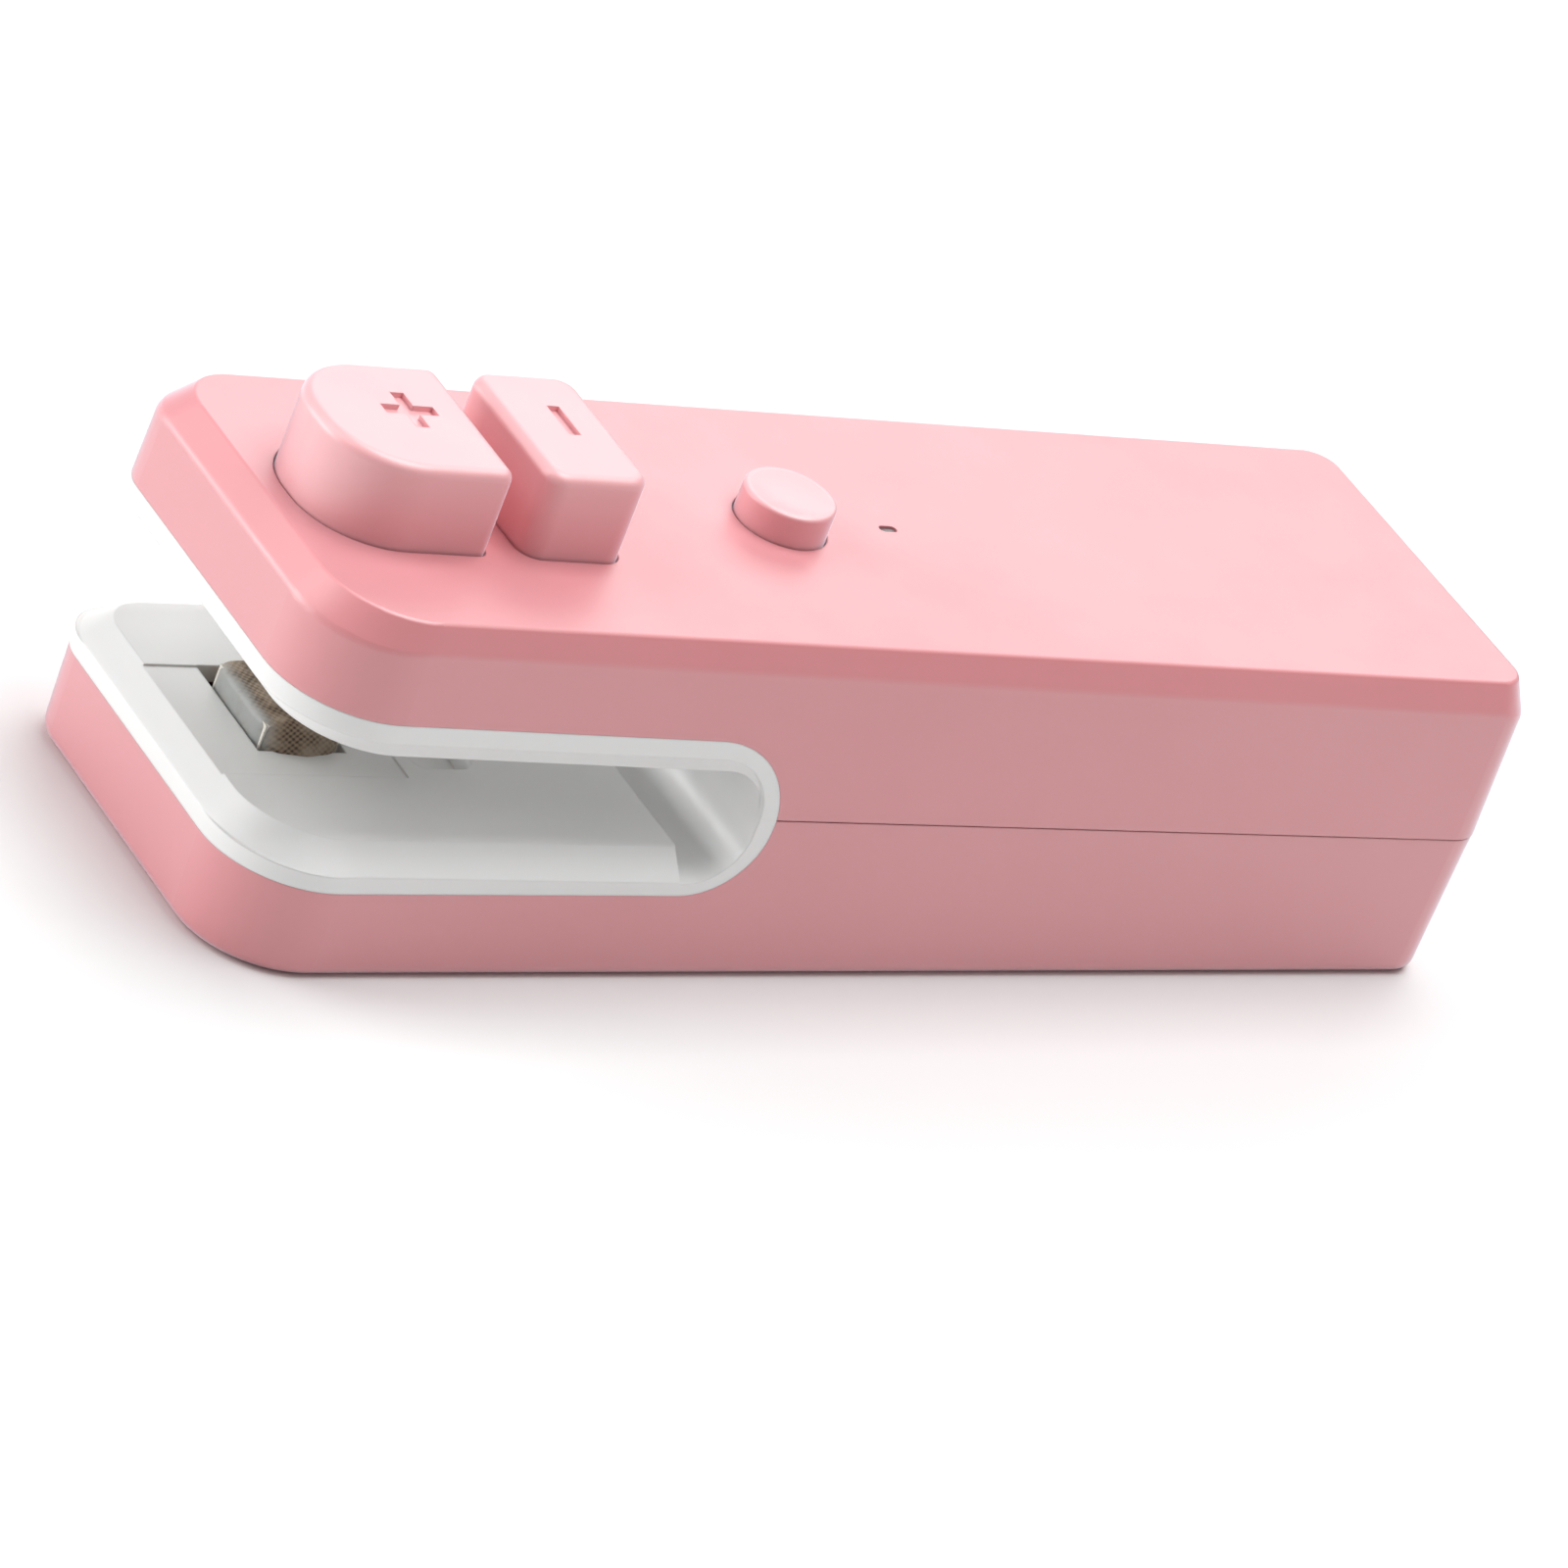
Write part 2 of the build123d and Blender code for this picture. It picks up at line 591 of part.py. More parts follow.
def mouth_liner():
    jaws = whole_blank() & mouth_outer()
    liner = jaws - throat() - lip_rebate()
    liner += deck() & jaws
    liner -= liner_pockets()
    for s in (-1, 1):
        x, y = FRONT_SCREW_X, s * FRONT_SCREW_Y
        liner += post(x, y, FRONT_BOSS, FRONT_SEAT_TOP, deck_z(x) - 0.5)
        liner -= post(x, y, FRONT_SCREW[0] + SCREW_FIT, 3, FRONT_HOLE_TOP)
        x, y = CEILING_SCREW_X, s * CEILING_SCREW_Y
        liner -= post(x, y, CEILING_SEAT_BORE, 16, ceiling_z(x) + CEILING_SCREW_SEAT)
        liner -= post(x, y, CEILING_BORE, 16, 22)
    liner -= liner_windows()
    floor = sloped(THROAT_BOTTOM + DECK_RISE - RECESS_DEPTH, THROAT_BOTTOM_SLOPE)
    liner -= above(block(-1, RECESS_END, RECESS_HALF_WIDTH, 5, 14), floor)
    liner -= groove()
    for x in (PLUS_SPRING_X, MINUS_SPRING_X):
        for s in (-1, 1):
            seat = ceiling_z(x) + PLATE - SPRING_SEAT_DEPTH
            liner -= post(x, MID_Y + s * SPRING_Y, SPRING_SEAT_RADIUS, seat, 24)
    return liner


# ---------------------------------------------------------------- keys

def key_blank(face, flange, flange_bottom):
    """A key with a flange below it that stops it under the top wall."""
    body = extrude(Pos(0, 0, flange_bottom) * face, amount=20)
    body = below(body, sloped(NOSE_HEIGHT + KEY_PROUD, TOP_SLOPE))
    rim = body.faces().sort_by(Axis.Z)[-1].edges()
    body = fillet(rim, KEY_TOP_FILLET)
    stop = extrude(Pos(0, 0, flange_bottom) * flange, amount=10)
    stop = below(stop, sloped(NOSE_HEIGHT - WALL - STOP_GAP, TOP_SLOPE))
    return body + stop


def key_hollow(face, flange_bottom, posts, post_bottom):
    """The space inside a key, round the posts that its screws go into."""
    space = extrude(Pos(0, 0, flange_bottom - 1) * face, amount=20)
    space = below(space, sloped(NOSE_HEIGHT + KEY_PROUD - KEY_WALL, TOP_SLOPE))
    for x, y in posts:
        space -= post(x, y, POST_RADIUS, post_bottom, 40)
    return space


def spring_cups(x, flange_bottom):
    cups = Part()
    for s in (-1, 1):
        y = MID_Y + s * SPRING_Y
        cups += post(x, y, SPRING_SEAT_RADIUS, 20, flange_bottom + SPRING_CUP_DEPTH)
    return cups


def mark(x, bars):
    """Engraved bars on a key's top face."""
    cut = Part()
    for length, width in bars:
        cut += Pos(x_n(x), MARK_Y, 40) * Box(length, width, 20)
    return above(cut, sloped(NOSE_HEIGHT + KEY_PROUD - MARK_DEPTH, TOP_SLOPE))


PLUS_POSTS = [(PLUS_POST_X, MID_Y + s * POST_Y) for s in (-1, 1)]
MINUS_POSTS = [(MINUS_POST_X, MID_Y + s * POST_Y) for s in (-1, 1)]


def plus_key():
    flange = Pos(0, MID_Y) * outline(*PLUS_FLANGE_X, FLANGE_HALF_WIDTH, 6, 1)
    key = key_blank(plus_outline(), flange, PLUS_FLANGE_BOTTOM)
    inner = plus_outline(-KEY_HOLLOW_INSET)
    key -= key_hollow(inner, PLUS_FLANGE_BOTTOM, PLUS_POSTS, PLUS_FLANGE_BOTTOM)
    key -= spring_cups(PLUS_SPRING_X, PLUS_FLANGE_BOTTOM)
    for x, y in PLUS_POSTS:
        key -= post(x, y, HEAD_SCREW[0] + SCREW_FIT, 20, PLUS_POST_HOLE_TOP)
    bars = [(PLUS_MARK_LENGTH, MARK_WIDTH), (MARK_WIDTH, PLUS_MARK_LENGTH)]
    return key - mark(PLUS_MARK_X, bars)


def minus_key():
    flange = Pos(0, MID_Y) * outline(*MINUS_FLANGE_X, FLANGE_HALF_WIDTH, 1, 1)
    key = key_blank(minus_outline(), flange, MINUS_FLANGE_BOTTOM)
    inner = minus_outline(-KEY_HOLLOW_INSET)
    key -= key_hollow(inner, MINUS_FLANGE_BOTTOM, MINUS_POSTS, CARRIER_Z[1])
    key -= spring_cups(MINUS_SPRING_X, MINUS_FLANGE_BOTTOM)
    for x, y in MINUS_POSTS:
        key -= post(x, y, CARRIER_SCREW[0] + SCREW_FIT, 20, MINUS_POST_HOLE_TOP)
    return key - mark(MINUS_MARK_X, [MINUS_MARK])


def press_head():
    """Carries the silicone pad under the plus key."""
    top = PLUS_FLANGE_BOTTOM
    foot = block(*HEAD_X, HEAD_HALF_LENGTH, PAD_BOTTOM + PAD_THICKNESS, top, MID_Y)
    for x, y in PLUS_POSTS:
        foot -= post(x, y, HEAD_BORE, 15, 30)
        foot -= post(x, y, HEAD_SEAT_BORE, 15, PAD_BOTTOM + PAD_THICKNESS + HEAD_SCREW_SEAT)
    return foot


def silicone_pad():
    pad = block(*HEAD_X, HEAD_HALF_LENGTH, PAD_BOTTOM, PAD_BOTTOM + PAD_THICKNESS, MID_Y)
    return fillet(pad.faces().sort_by(Axis.Z)[0].edges(), 0.4)


def blade_carrier():
    """Plate inside the minus key with a clamp for the blade."""
    bottom, top = CARRIER_Z
    carrier = block(*CARRIER_X, CARRIER_HALF_LENGTH, bottom, top, MID_Y)
    clamp = BLADE_HALF_WIDTH + CLAMP_MARGIN
    x0, x1 = BLADE_X - CLAMP_HALF_THICKNESS, BLADE_X + CLAMP_HALF_THICKNESS
    carrier += block(x0, x1, clamp, CLAMP_BOTTOM, top, MID_Y)
    gap = BLADE_THICKNESS / 2
    carrier -= block(BLADE_X - gap, BLADE_X + gap, BLADE_HALF_WIDTH, 15, bottom, MID_Y)
    for x, y in MINUS_POSTS:
        carrier -= post(x, y, CARRIER_BORE, 15, 30)
    return carrier


def cutter_blade():
    """A thin blade with a pointed cutting end."""
    z_shoulder = BLADE_TIP + BLADE_POINT
    z_top = CARRIER_Z[0]
    half = BLADE_HALF_WIDTH
    profile = Polyline((-half, z_top), (half, z_top), (half, z_shoulder), (0, BLADE_TIP),
                       (-half, z_shoulder), close=True)
    plane = Plane(origin=(x_n(BLADE_X), MID_Y, 0), x_dir=(0, 1, 0), z_dir=(1, 0, 0))
    return extrude(plane * make_face(profile), amount=BLADE_THICKNESS / 2, both=True)


# ---------------------------------------------------------------- springs

def coil(x, y, z0, z1):
    """A round-wire compression spring standing between two heights."""
    height = z1 - z0 - 2 * SPRING_WIRE
    path = Helix(height / SPRING_TURNS, height, SPRING_RADIUS)
    start = path @ 0
    wire = sweep(Plane(start, z_dir=path % 0) * Circle(SPRING_WIRE), path=path)
    return Pos(x_n(x), y, z0 + SPRING_WIRE + 0.02) * wire


def key_springs(x, flange_bottom):
    seat = ceiling_z(x) + PLATE - SPRING_SEAT_DEPTH
    cup = flange_bottom + SPRING_CUP_DEPTH
    return [coil(x, MID_Y + s * SPRING_Y, seat, cup - 0.05) for s in (-1, 1)]


# ---------------------------------------------------------------- heater

def heater_base():
    """Plate on the lower shell that the heating bar stands on."""
    base = block(BAR_X[0] - BASE_MARGIN, BAR_X[1] + BASE_MARGIN, BASE_HALF_LENGTH, *BASE_Z)
    for s in (-1, 1):
        base -= post(BAR_MIDDLE, s * BASE_SCREW_Y, BASE_BORE, 3, 7)
    return base


def heater_block():
    top = BAR_TOP - CLOTH - RIBBON
    return block(BAR_X[0] + CLOTH, BAR_X[1] - CLOTH, BLOCK_HALF_LENGTH, BASE_Z[1], top, BAR_Y)


def heating_ribbon():
    """Strip over the bar, with its ends folded down to the terminals."""
    x0 = BAR_MIDDLE - RIBBON_WIDTH / 2
    x1 = BAR_MIDDLE + RIBBON_WIDTH / 2
    top = BAR_TOP - CLOTH
    outer = block(x0, x1, BLOCK_HALF_LENGTH + RIBBON, BASE_Z[1] + 0.4, top, BAR_Y)
    return outer - block(x0 - 1, x1 + 1, BLOCK_HALF_LENGTH, 5, top - RIBBON, BAR_Y)


def heater_terminals():
    """A clip at each end of the ribbon."""
    x0, x1 = BAR_MIDDLE - CLIP_HALF_WIDTH, BAR_MIDDLE + CLIP_HALF_WIDTH
    reach = BLOCK_HALF_LENGTH + RIBBON + CLIP / 2
    ends = [BAR_Y + s * reach for s in (-1, 1)]
    return [block(x0, x1, CLIP / 2, BASE_Z[1] + 0.1, CLIP_TOP, y) for y in ends]


def bulging_end(side):
    """Plan of one end of the cloth, bowed outwards between the bar's corners."""
    x0, x1 = (x_n(x) for x in BAR_X)
    corner = BAR_Y + side * (BAR_HALF_LENGTH - 0.1)
    bow = ThreePointArc((x0, corner), ((x0 + x1) / 2, corner + side * CLOTH_BOW), (x1, corner))
    return make_face([bow, Line(bow @ 1, bow @ 0)])


def cloth_cover():
    """Woven non-stick cloth over the bar; its -Y end bows out above the deck."""
    cover = block(*BAR_X, BAR_HALF_LENGTH, CLOTH_BOTTOM, BAR_TOP, BAR_Y)
    cover = fillet(cover.edges().filter_by(Axis.Z), 0.5)
    z_bow = deck_z(0) + 0.15
    cover += extrude(Pos(0, 0, z_bow) * bulging_end(-1), amount=BAR_TOP - 0.4 - z_bow)
    cover = fillet(cover.faces().sort_by(Axis.Z)[-1].edges(), 0.18)
    half = BLOCK_HALF_LENGTH + RIBBON + 0.03
    x0, x1 = BAR_X[0] + CLOTH, BAR_X[1] - CLOTH
    return cover - block(x0, x1, half, CLOTH_BOTTOM - 1, BAR_TOP - CLOTH, BAR_Y)


# ---------------------------------------------------------------- button, light, electronics

def power_button():
    """Round cap, dished on top, with a flange that keeps it in and a stem inside."""
    x, top = BUTTON_X, top_z(BUTTON_X) + BUTTON_PROUD
    z0, z1 = BUTTON_FLANGE_Z
    cap = post(x, MID_Y, BUTTON_RADIUS, z0, top)
    cap = fillet(cap.faces().sort_by(Axis.Z)[-1].edges(), 0.3)
    cap += post(x, MID_Y, BUTTON_RADIUS + BUTTON_FLANGE, z0, z1)
    cap -= Pos(x_n(x), MID_Y, top + DISH_RADIUS - DISH_DEPTH) * Sphere(DISH_RADIUS)
    cap -= post(x, MID_Y, BUTTON_RADIUS - KEY_WALL, 24, 28)
    return cap + post(x, MID_Y, STEM_RADIUS, PLUNGER_TOP, 28.5)


def power_switch():
    half = SWITCH_HALF_WIDTH
    body = block(BUTTON_X - half, BUTTON_X + half, half, BOARD_TOP, SWITCH_TOP, MID_Y)
    return body - post(BUTTON_X, MID_Y, PLUNGER_RADIUS + 0.1, 22.25, 25)


def switch_plunger():
    return post(BUTTON_X, MID_Y, PLUNGER_RADIUS, PLUNGER_BOTTOM, PLUNGER_TOP)


def light_pipe():
    """Clear rod from the lamp up to the slot in the top, with a collar under the wall."""
    length, width = (size - 2 * LIGHT_FIT for size in LIGHT_SLOT)
    place = Pos(x_n(LIGHT_X), MID_Y)
    top = top_z(LIGHT_X)
    pipe = shaft_through(place * SlotOverall(length, width), LIGHT_BOTTOM, top - 0.15)
    collar = shaft_through(place * SlotOverall(*COLLAR), COLLAR_BOTTOM, top)
    return pipe + below(collar, sloped(NOSE_HEIGHT - WALL - 0.02, TOP_SLOPE))


def status_light():
    length, width, height = LAMP
    x0, x1 = LIGHT_X - length / 2, LIGHT_X + length / 2
    return block(x0, x1, width / 2, BOARD_TOP, BOARD_TOP + height, MID_Y)


def circuit_board():
    board = extrude(Pos(0, 0, BOARD_TOP - BOARD) * outline(*BOARD_X, BOARD_HALF_WIDTH, 1, 1),
                    amount=BOARD)
    for x, y in board_screw_places():
        board -= post(x, y, BOARD_BORE, 15, 25)
    return board


def board_components():
    """Charger chip, controller, transistor, coil and capacitors under the board."""
    under = BOARD_TOP - BOARD
    parts = []
    for x, y, length, width, height in COMPONENTS:
        x0, x1 = x - length / 2, x + length / 2
        parts.append(block(x0, x1, width / 2, under - height, under, y=y))
    return parts


def usb_socket():
    """Metal can of the charging socket, with its contact tongue."""
    top = BOARD_TOP - BOARD
    bottom = top - SOCKET_HEIGHT
    x1 = LENGTH - SOCKET_SINK
    x0 = x1 - SOCKET_LENGTH
    wall = SOCKET_WALL
    can = block(x0, x1, SOCKET_HALF_WIDTH, bottom, top)
    can = fillet(can.edges().filter_by(Axis.X), 0.5)
    can -= block(x0 + 0.8, x1 + 1, SOCKET_HALF_WIDTH - wall, bottom + wall, top - wall)
    z = top - 1.35
    return can + block(x0 + 0.6, x1 - 0.6, TONGUE_HALF_WIDTH, z, z + TONGUE_HEIGHT)


def battery_cell():
    z = WALL + BATTERY_TAPE + BATTERY[2] / 2
    cell = Pos(x_n(BATTERY_X), 0, z) * Box(*BATTERY)
    return fillet(cell.edges().filter_by(Axis.X), 1.5)


def battery_tape():
    half = BATTERY[0] / 2 - 2
    return block(BATTERY_X - half, BATTERY_X + half, TAPE_HALF_WIDTH, WALL, WALL + BATTERY_TAPE)


def lead(points, radius):
    """An insulated wire: straight runs joined by tangent arcs."""
    path = FilletPolyline(*[(x_n(x), y, z) for x, y, z in points], radius=radius)
    return sweep(Plane(path @ 0, z_dir=path % 0) * Circle(LEAD_RADIUS), path=path)


def heater_leads():
    x = BAR_MIDDLE
    reach = BLOCK_HALF_LENGTH + RIBBON + CLIP + LEAD_RADIUS
    leads = []
    for s in (-1, 1):
        y = BAR_Y + s * reach
        route = [(x + 1.2, y, 6.6), (x + 5.0, y, 6.6), (x + 9.0, y, 4.6),
                 (40.0, s * 6.0, 4.6), (46.5, s * 4.6, 7.4), (46.5, s * 4.6, BOARD_TOP - BOARD)]
        leads.append(lead(route, HEATER_LEAD_TURN))
    return leads


def battery_leads():
    x = BATTERY_X - BATTERY[0] / 2
    x_up = x - BATTERY_LEAD_REACH
    z = WALL + BATTERY_TAPE + BATTERY[2] - BATTERY_LEAD_DROP
    leads = []
    for s in (-1, 1):
        y = s * BATTERY_LEAD_Y
        route = [(x, y, z), (x_up, y, z), (x_up, y, BOARD_TOP - BOARD)]
        leads.append(lead(route, BATTERY_LEAD_TURN))
    return leads


# ---------------------------------------------------------------- screws

def screw(x, y, z_head, z_end, size):
    """A pan-head screw from the underside of its head at z_head to its end at z_end."""
    radius, head_radius, head_height = size
    up = 1 if z_end > z_head else -1
    shank = post(x, y, radius, min(z_head, z_end), max(z_head, z_end))
    z_cap = z_head - up * head_height
    head = post(x, y, head_radius, min(z_head, z_cap), max(z_head, z_cap))
    slot_z = z_cap + up * head_height * 0.25
    for cross in ((1.3 * head_radius, 0.3 * head_radius), (0.3 * head_radius, 1.3 * head_radius)):
        head -= Pos(x_n(x), y, slot_z) * Box(*cross, head_height * 0.5)
    return shank + head


def shell_screws():
    return [screw(x, y, *SHELL_SCREW_Z, SHELL_SCREW) for x, y in shell_screw_places()]


def liner_screws():
    screws = []
    for s in (-1, 1):
        screws.append(screw(FRONT_SCREW_X, s * FRONT_SCREW_Y, *FRONT_SCREW_Z, FRONT_SCREW))
        x, y = CEILING_SCREW_X, s * CEILING_SCREW_Y
        head_z = ceiling_z(x) + CEILING_SCREW_SEAT
        screws.append(screw(x, y, head_z, CEILING_SCREW_TIP, CEILING_SCREW))
    return screws


def board_screws():
    under = BOARD_TOP - BOARD
    return [screw(x, y, under, BOARD_SCREW_TIP, BOARD_SCREW) for x, y in board_screw_places()]


def heater_screws():
    places = [(BAR_MIDDLE, s * BASE_SCREW_Y) for s in (-1, 1)]
    return [screw(x, y, BASE_Z[1], BASE_SCREW_TIP, BASE_SCREW) for x, y in places]


def press_head_screws():
    z = PAD_BOTTOM + PAD_THICKNESS + HEAD_SCREW_SEAT
    return [screw(x, y, z, HEAD_SCREW_TIP, HEAD_SCREW) for x, y in PLUS_POSTS]


def carrier_screws():
    return [screw(x, y, CARRIER_Z[0], CARRIER_SCREW_TIP, CARRIER_SCREW) for x, y in MINUS_POSTS]


def seal_switch():
    """Low dome switch that the plus key's flange reaches at the end of its stroke."""
    z = ceiling_z(sum(SEAL_SWITCH_X) / 2) + PLATE
    body = block(*SEAL_SWITCH_X, SEAL_SWITCH_HALF_WIDTH, z - 0.05, z + SEAL_SWITCH_HEIGHT)
    return above(body, sloped(THROAT_TOP + PLATE, MOUTH_TOP_SLOPE))


NODES = {
    "upper_shell": upper_shell,
    "lower_shell": lower_shell,
    "mouth_liner": mouth_liner,
    "plus_key": plus_key,
    "press_head": press_head,
    "silicone_pad": silicone_pad,
    "press_head_screws": press_head_screws,
    "plus_springs": lambda: key_springs(PLUS_SPRING_X, PLUS_FLANGE_BOTTOM),
    "minus_key": minus_key,
    "blade_carrier": blade_carrier,
    "cutter_blade": cutter_blade,
    "carrier_screws": carrier_screws,
    "minus_springs": lambda: key_springs(MINUS_SPRING_X, MINUS_FLANGE_BOTTOM),
    "heater_base": heater_base,
    "heater_block": heater_block,
    "heating_ribbon": heating_ribbon,
    "heater_terminals": heater_terminals,
    "cloth_cover": cloth_cover,
    "heater_screws": heater_screws,
    "heater_leads": heater_leads,
    "seal_switch": seal_switch,
    "power_button": power_button,
    "power_switch": power_switch,
    "switch_plunger": switch_plunger,
    "light_pipe": light_pipe,
    "status_light": status_light,
    "circuit_board": circuit_board,
    "board_components": board_components,
    "board_screws": board_screws,
    "usb_socket": usb_socket,
    "battery_cell": battery_cell,
    "battery_tape": battery_tape,
    "battery_leads": battery_leads,
    "shell_screws": shell_screws,
    "liner_screws": liner_screws,
}

for name, make in NODES.items():
    shape = make()
    if isinstance(shape, list):
        shape = Compound(children=shape)
    export_step(shape, f"parts/{name}.step")
    print(name, round(shape.volume, 2))
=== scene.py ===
import json
import math
import bmesh
import bpy
from mathutils import Matrix, Vector


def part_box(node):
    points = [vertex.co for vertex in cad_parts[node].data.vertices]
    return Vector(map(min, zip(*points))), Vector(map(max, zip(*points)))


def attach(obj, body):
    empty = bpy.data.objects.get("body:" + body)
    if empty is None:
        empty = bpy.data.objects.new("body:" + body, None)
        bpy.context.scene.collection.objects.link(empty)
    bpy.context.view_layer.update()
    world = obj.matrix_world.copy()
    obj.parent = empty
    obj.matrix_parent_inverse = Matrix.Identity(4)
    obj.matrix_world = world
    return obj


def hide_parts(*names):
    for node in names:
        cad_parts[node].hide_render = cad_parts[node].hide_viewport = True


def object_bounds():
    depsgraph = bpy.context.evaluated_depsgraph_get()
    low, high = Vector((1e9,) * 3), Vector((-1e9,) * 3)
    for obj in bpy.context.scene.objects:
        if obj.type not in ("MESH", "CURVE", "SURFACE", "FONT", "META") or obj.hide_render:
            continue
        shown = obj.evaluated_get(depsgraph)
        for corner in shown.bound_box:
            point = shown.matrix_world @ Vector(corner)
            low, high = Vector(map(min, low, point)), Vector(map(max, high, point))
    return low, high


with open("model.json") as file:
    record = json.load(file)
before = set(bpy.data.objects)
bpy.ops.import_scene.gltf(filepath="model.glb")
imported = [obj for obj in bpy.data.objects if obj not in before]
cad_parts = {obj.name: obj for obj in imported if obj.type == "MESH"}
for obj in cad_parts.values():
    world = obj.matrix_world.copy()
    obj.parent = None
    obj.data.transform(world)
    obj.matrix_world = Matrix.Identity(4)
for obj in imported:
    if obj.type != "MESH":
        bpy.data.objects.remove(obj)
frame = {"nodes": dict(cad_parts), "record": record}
cad_low, cad_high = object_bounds()
NODES = frame["nodes"]
scene = bpy.context.scene

# All sizes are in metres. The nose of the sealer points to -X and its keys face up.
MM = 0.001
SHEEN = 1.0                    # a pale velvety cast on the pink plastic
SHEEN_ROUGHNESS = 0.4
SHEEN_TINT = "EEF2FF"
BLOOM_ROUGHNESS = 0.55         # the soft coat that whitens the pink plastic
BLOOM_IOR = 1.9
WORLD_STRENGTH = 0.2
FOCAL_LENGTH = 243.6           # mm, on a sensor 36 mm wide
SENSOR_WIDTH = 36.0
CAMERA_PLACE = (-0.427786, -0.52023, 0.369741)
CAMERA_VIEW = (0.560301, 0.678513, -0.475061)
CAMERA_ROLL = 21.92            # degrees
FLOOR_REACH = 12.0
AIM = (0, 0, 0.015)            # what every panel faces


# ---------------------------------------------------------------- colours

def linear(code):
    """Linear colour of a hex code."""
    channels = [int(code[i:i + 2], 16) / 255 for i in (0, 2, 4)]
    return [c / 12.92 if c <= 0.04045 else ((c + 0.055) / 1.055) ** 2.4 for c in channels]


def rgba(code):
    return (*linear(code), 1.0)


# ---------------------------------------------------------------- node helpers

class Tree:
    """A material's node tree, with short calls for the nodes used here."""

    def __init__(self, name):
        self.material = bpy.data.materials.new(name)
        self.material.use_nodes = True
        self.nodes = self.material.node_tree.nodes
        self.links = self.material.node_tree.links
        self.shader = self.nodes["Principled BSDF"]
        self.place = self.nodes.new("ShaderNodeTexCoord").outputs["Object"]

    def set(self, **values):
        """Uniform values on the shader's own sockets; underscores stand for spaces."""
        for name, value in values.items():
            self.shader.inputs[name.replace("_", " ")].default_value = value

    def link(self, output, socket):
        self.links.new(output, self.shader.inputs[socket])

    def noise(self, scale, detail=3.0, roughness=0.5, vector=None):
        node = self.nodes.new("ShaderNodeTexNoise")
        node.inputs["Scale"].default_value = scale
        node.inputs["Detail"].default_value = detail
        node.inputs["Roughness"].default_value = roughness
        self.links.new(vector or self.place, node.inputs["Vector"])
        return node.outputs["Fac"]

    def cells(self, scale, randomness=1.0, feature="F1", vector=None):
        node = self.nodes.new("ShaderNodeTexVoronoi")
        node.feature = feature
        node.inputs["Scale"].default_value = scale
        node.inputs["Randomness"].default_value = randomness
        self.links.new(vector or self.place, node.inputs["Vector"])
        return node.outputs["Distance"]

    def spread(self, value, low, high, out_low=0.0, out_high=1.0):
        """Maps low..high to out_low..out_high, clamped."""
        node = self.nodes.new("ShaderNodeMapRange")
        node.inputs["From Min"].default_value = low
        node.inputs["From Max"].default_value = high
        node.inputs["To Min"].default_value = out_low
        node.inputs["To Max"].default_value = out_high
        self.links.new(value, node.inputs["Value"])
        return node.outputs["Result"]

    def math(self, kind, a, b):
        node = self.nodes.new("ShaderNodeMath")
        node.operation = kind
        for value, socket in ((a, node.inputs[0]), (b, node.inputs[1])):
            if isinstance(value, (int, float)):
                socket.default_value = value
            else:
                self.links.new(value, socket)
        return node.outputs["Value"]

    def axis(self, name):
        node = self.nodes.new("ShaderNodeSeparateXYZ")
        self.links.new(self.place, node.inputs["Vector"])
        return node.outputs[name]

    def stretch(self, x, y, z):
        """The object's coordinates, scaled by axis."""
        node = self.nodes.new("ShaderNodeMapping")
        node.inputs["Scale"].default_value = (x, y, z)
        self.links.new(self.place, node.inputs["Vector"])
        return node.outputs["Vector"]

    def mix(self, share, first, second):
        """Mixes two colours, each a hex code or an output."""
        node = self.nodes.new("ShaderNodeMix")
        node.data_type = "RGBA"
        self.links.new(share, node.inputs["Factor"])
        for value, socket in ((first, node.inputs[6]), (second, node.inputs[7])):
            if isinstance(value, str):
                socket.default_value = rgba(value)
            else:
                self.links.new(value, socket)
        return node.outputs[2]

    def rounded(self, radius):
        """The surface's normal with its sharp edges rounded over."""
        node = self.nodes.new("ShaderNodeBevel")
        node.samples = 6
        node.inputs["Radius"].default_value = radius
        return node.outputs["Normal"]

    def bump(self, height, distance, strength=1.0, under=None):
        node = self.nodes.new("ShaderNodeBump")
        node.inputs["Distance"].default_value = distance
        node.inputs["Strength"].default_value = strength
        self.links.new(height, node.inputs["Height"])
        if under is not None:
            self.links.new(under, node.inputs["Normal"])
        return node.outputs["Normal"]


# ---------------------------------------------------------------- materials

EDGE_RADIUS = 0.22 * MM        # how far moulded edges are rounded over


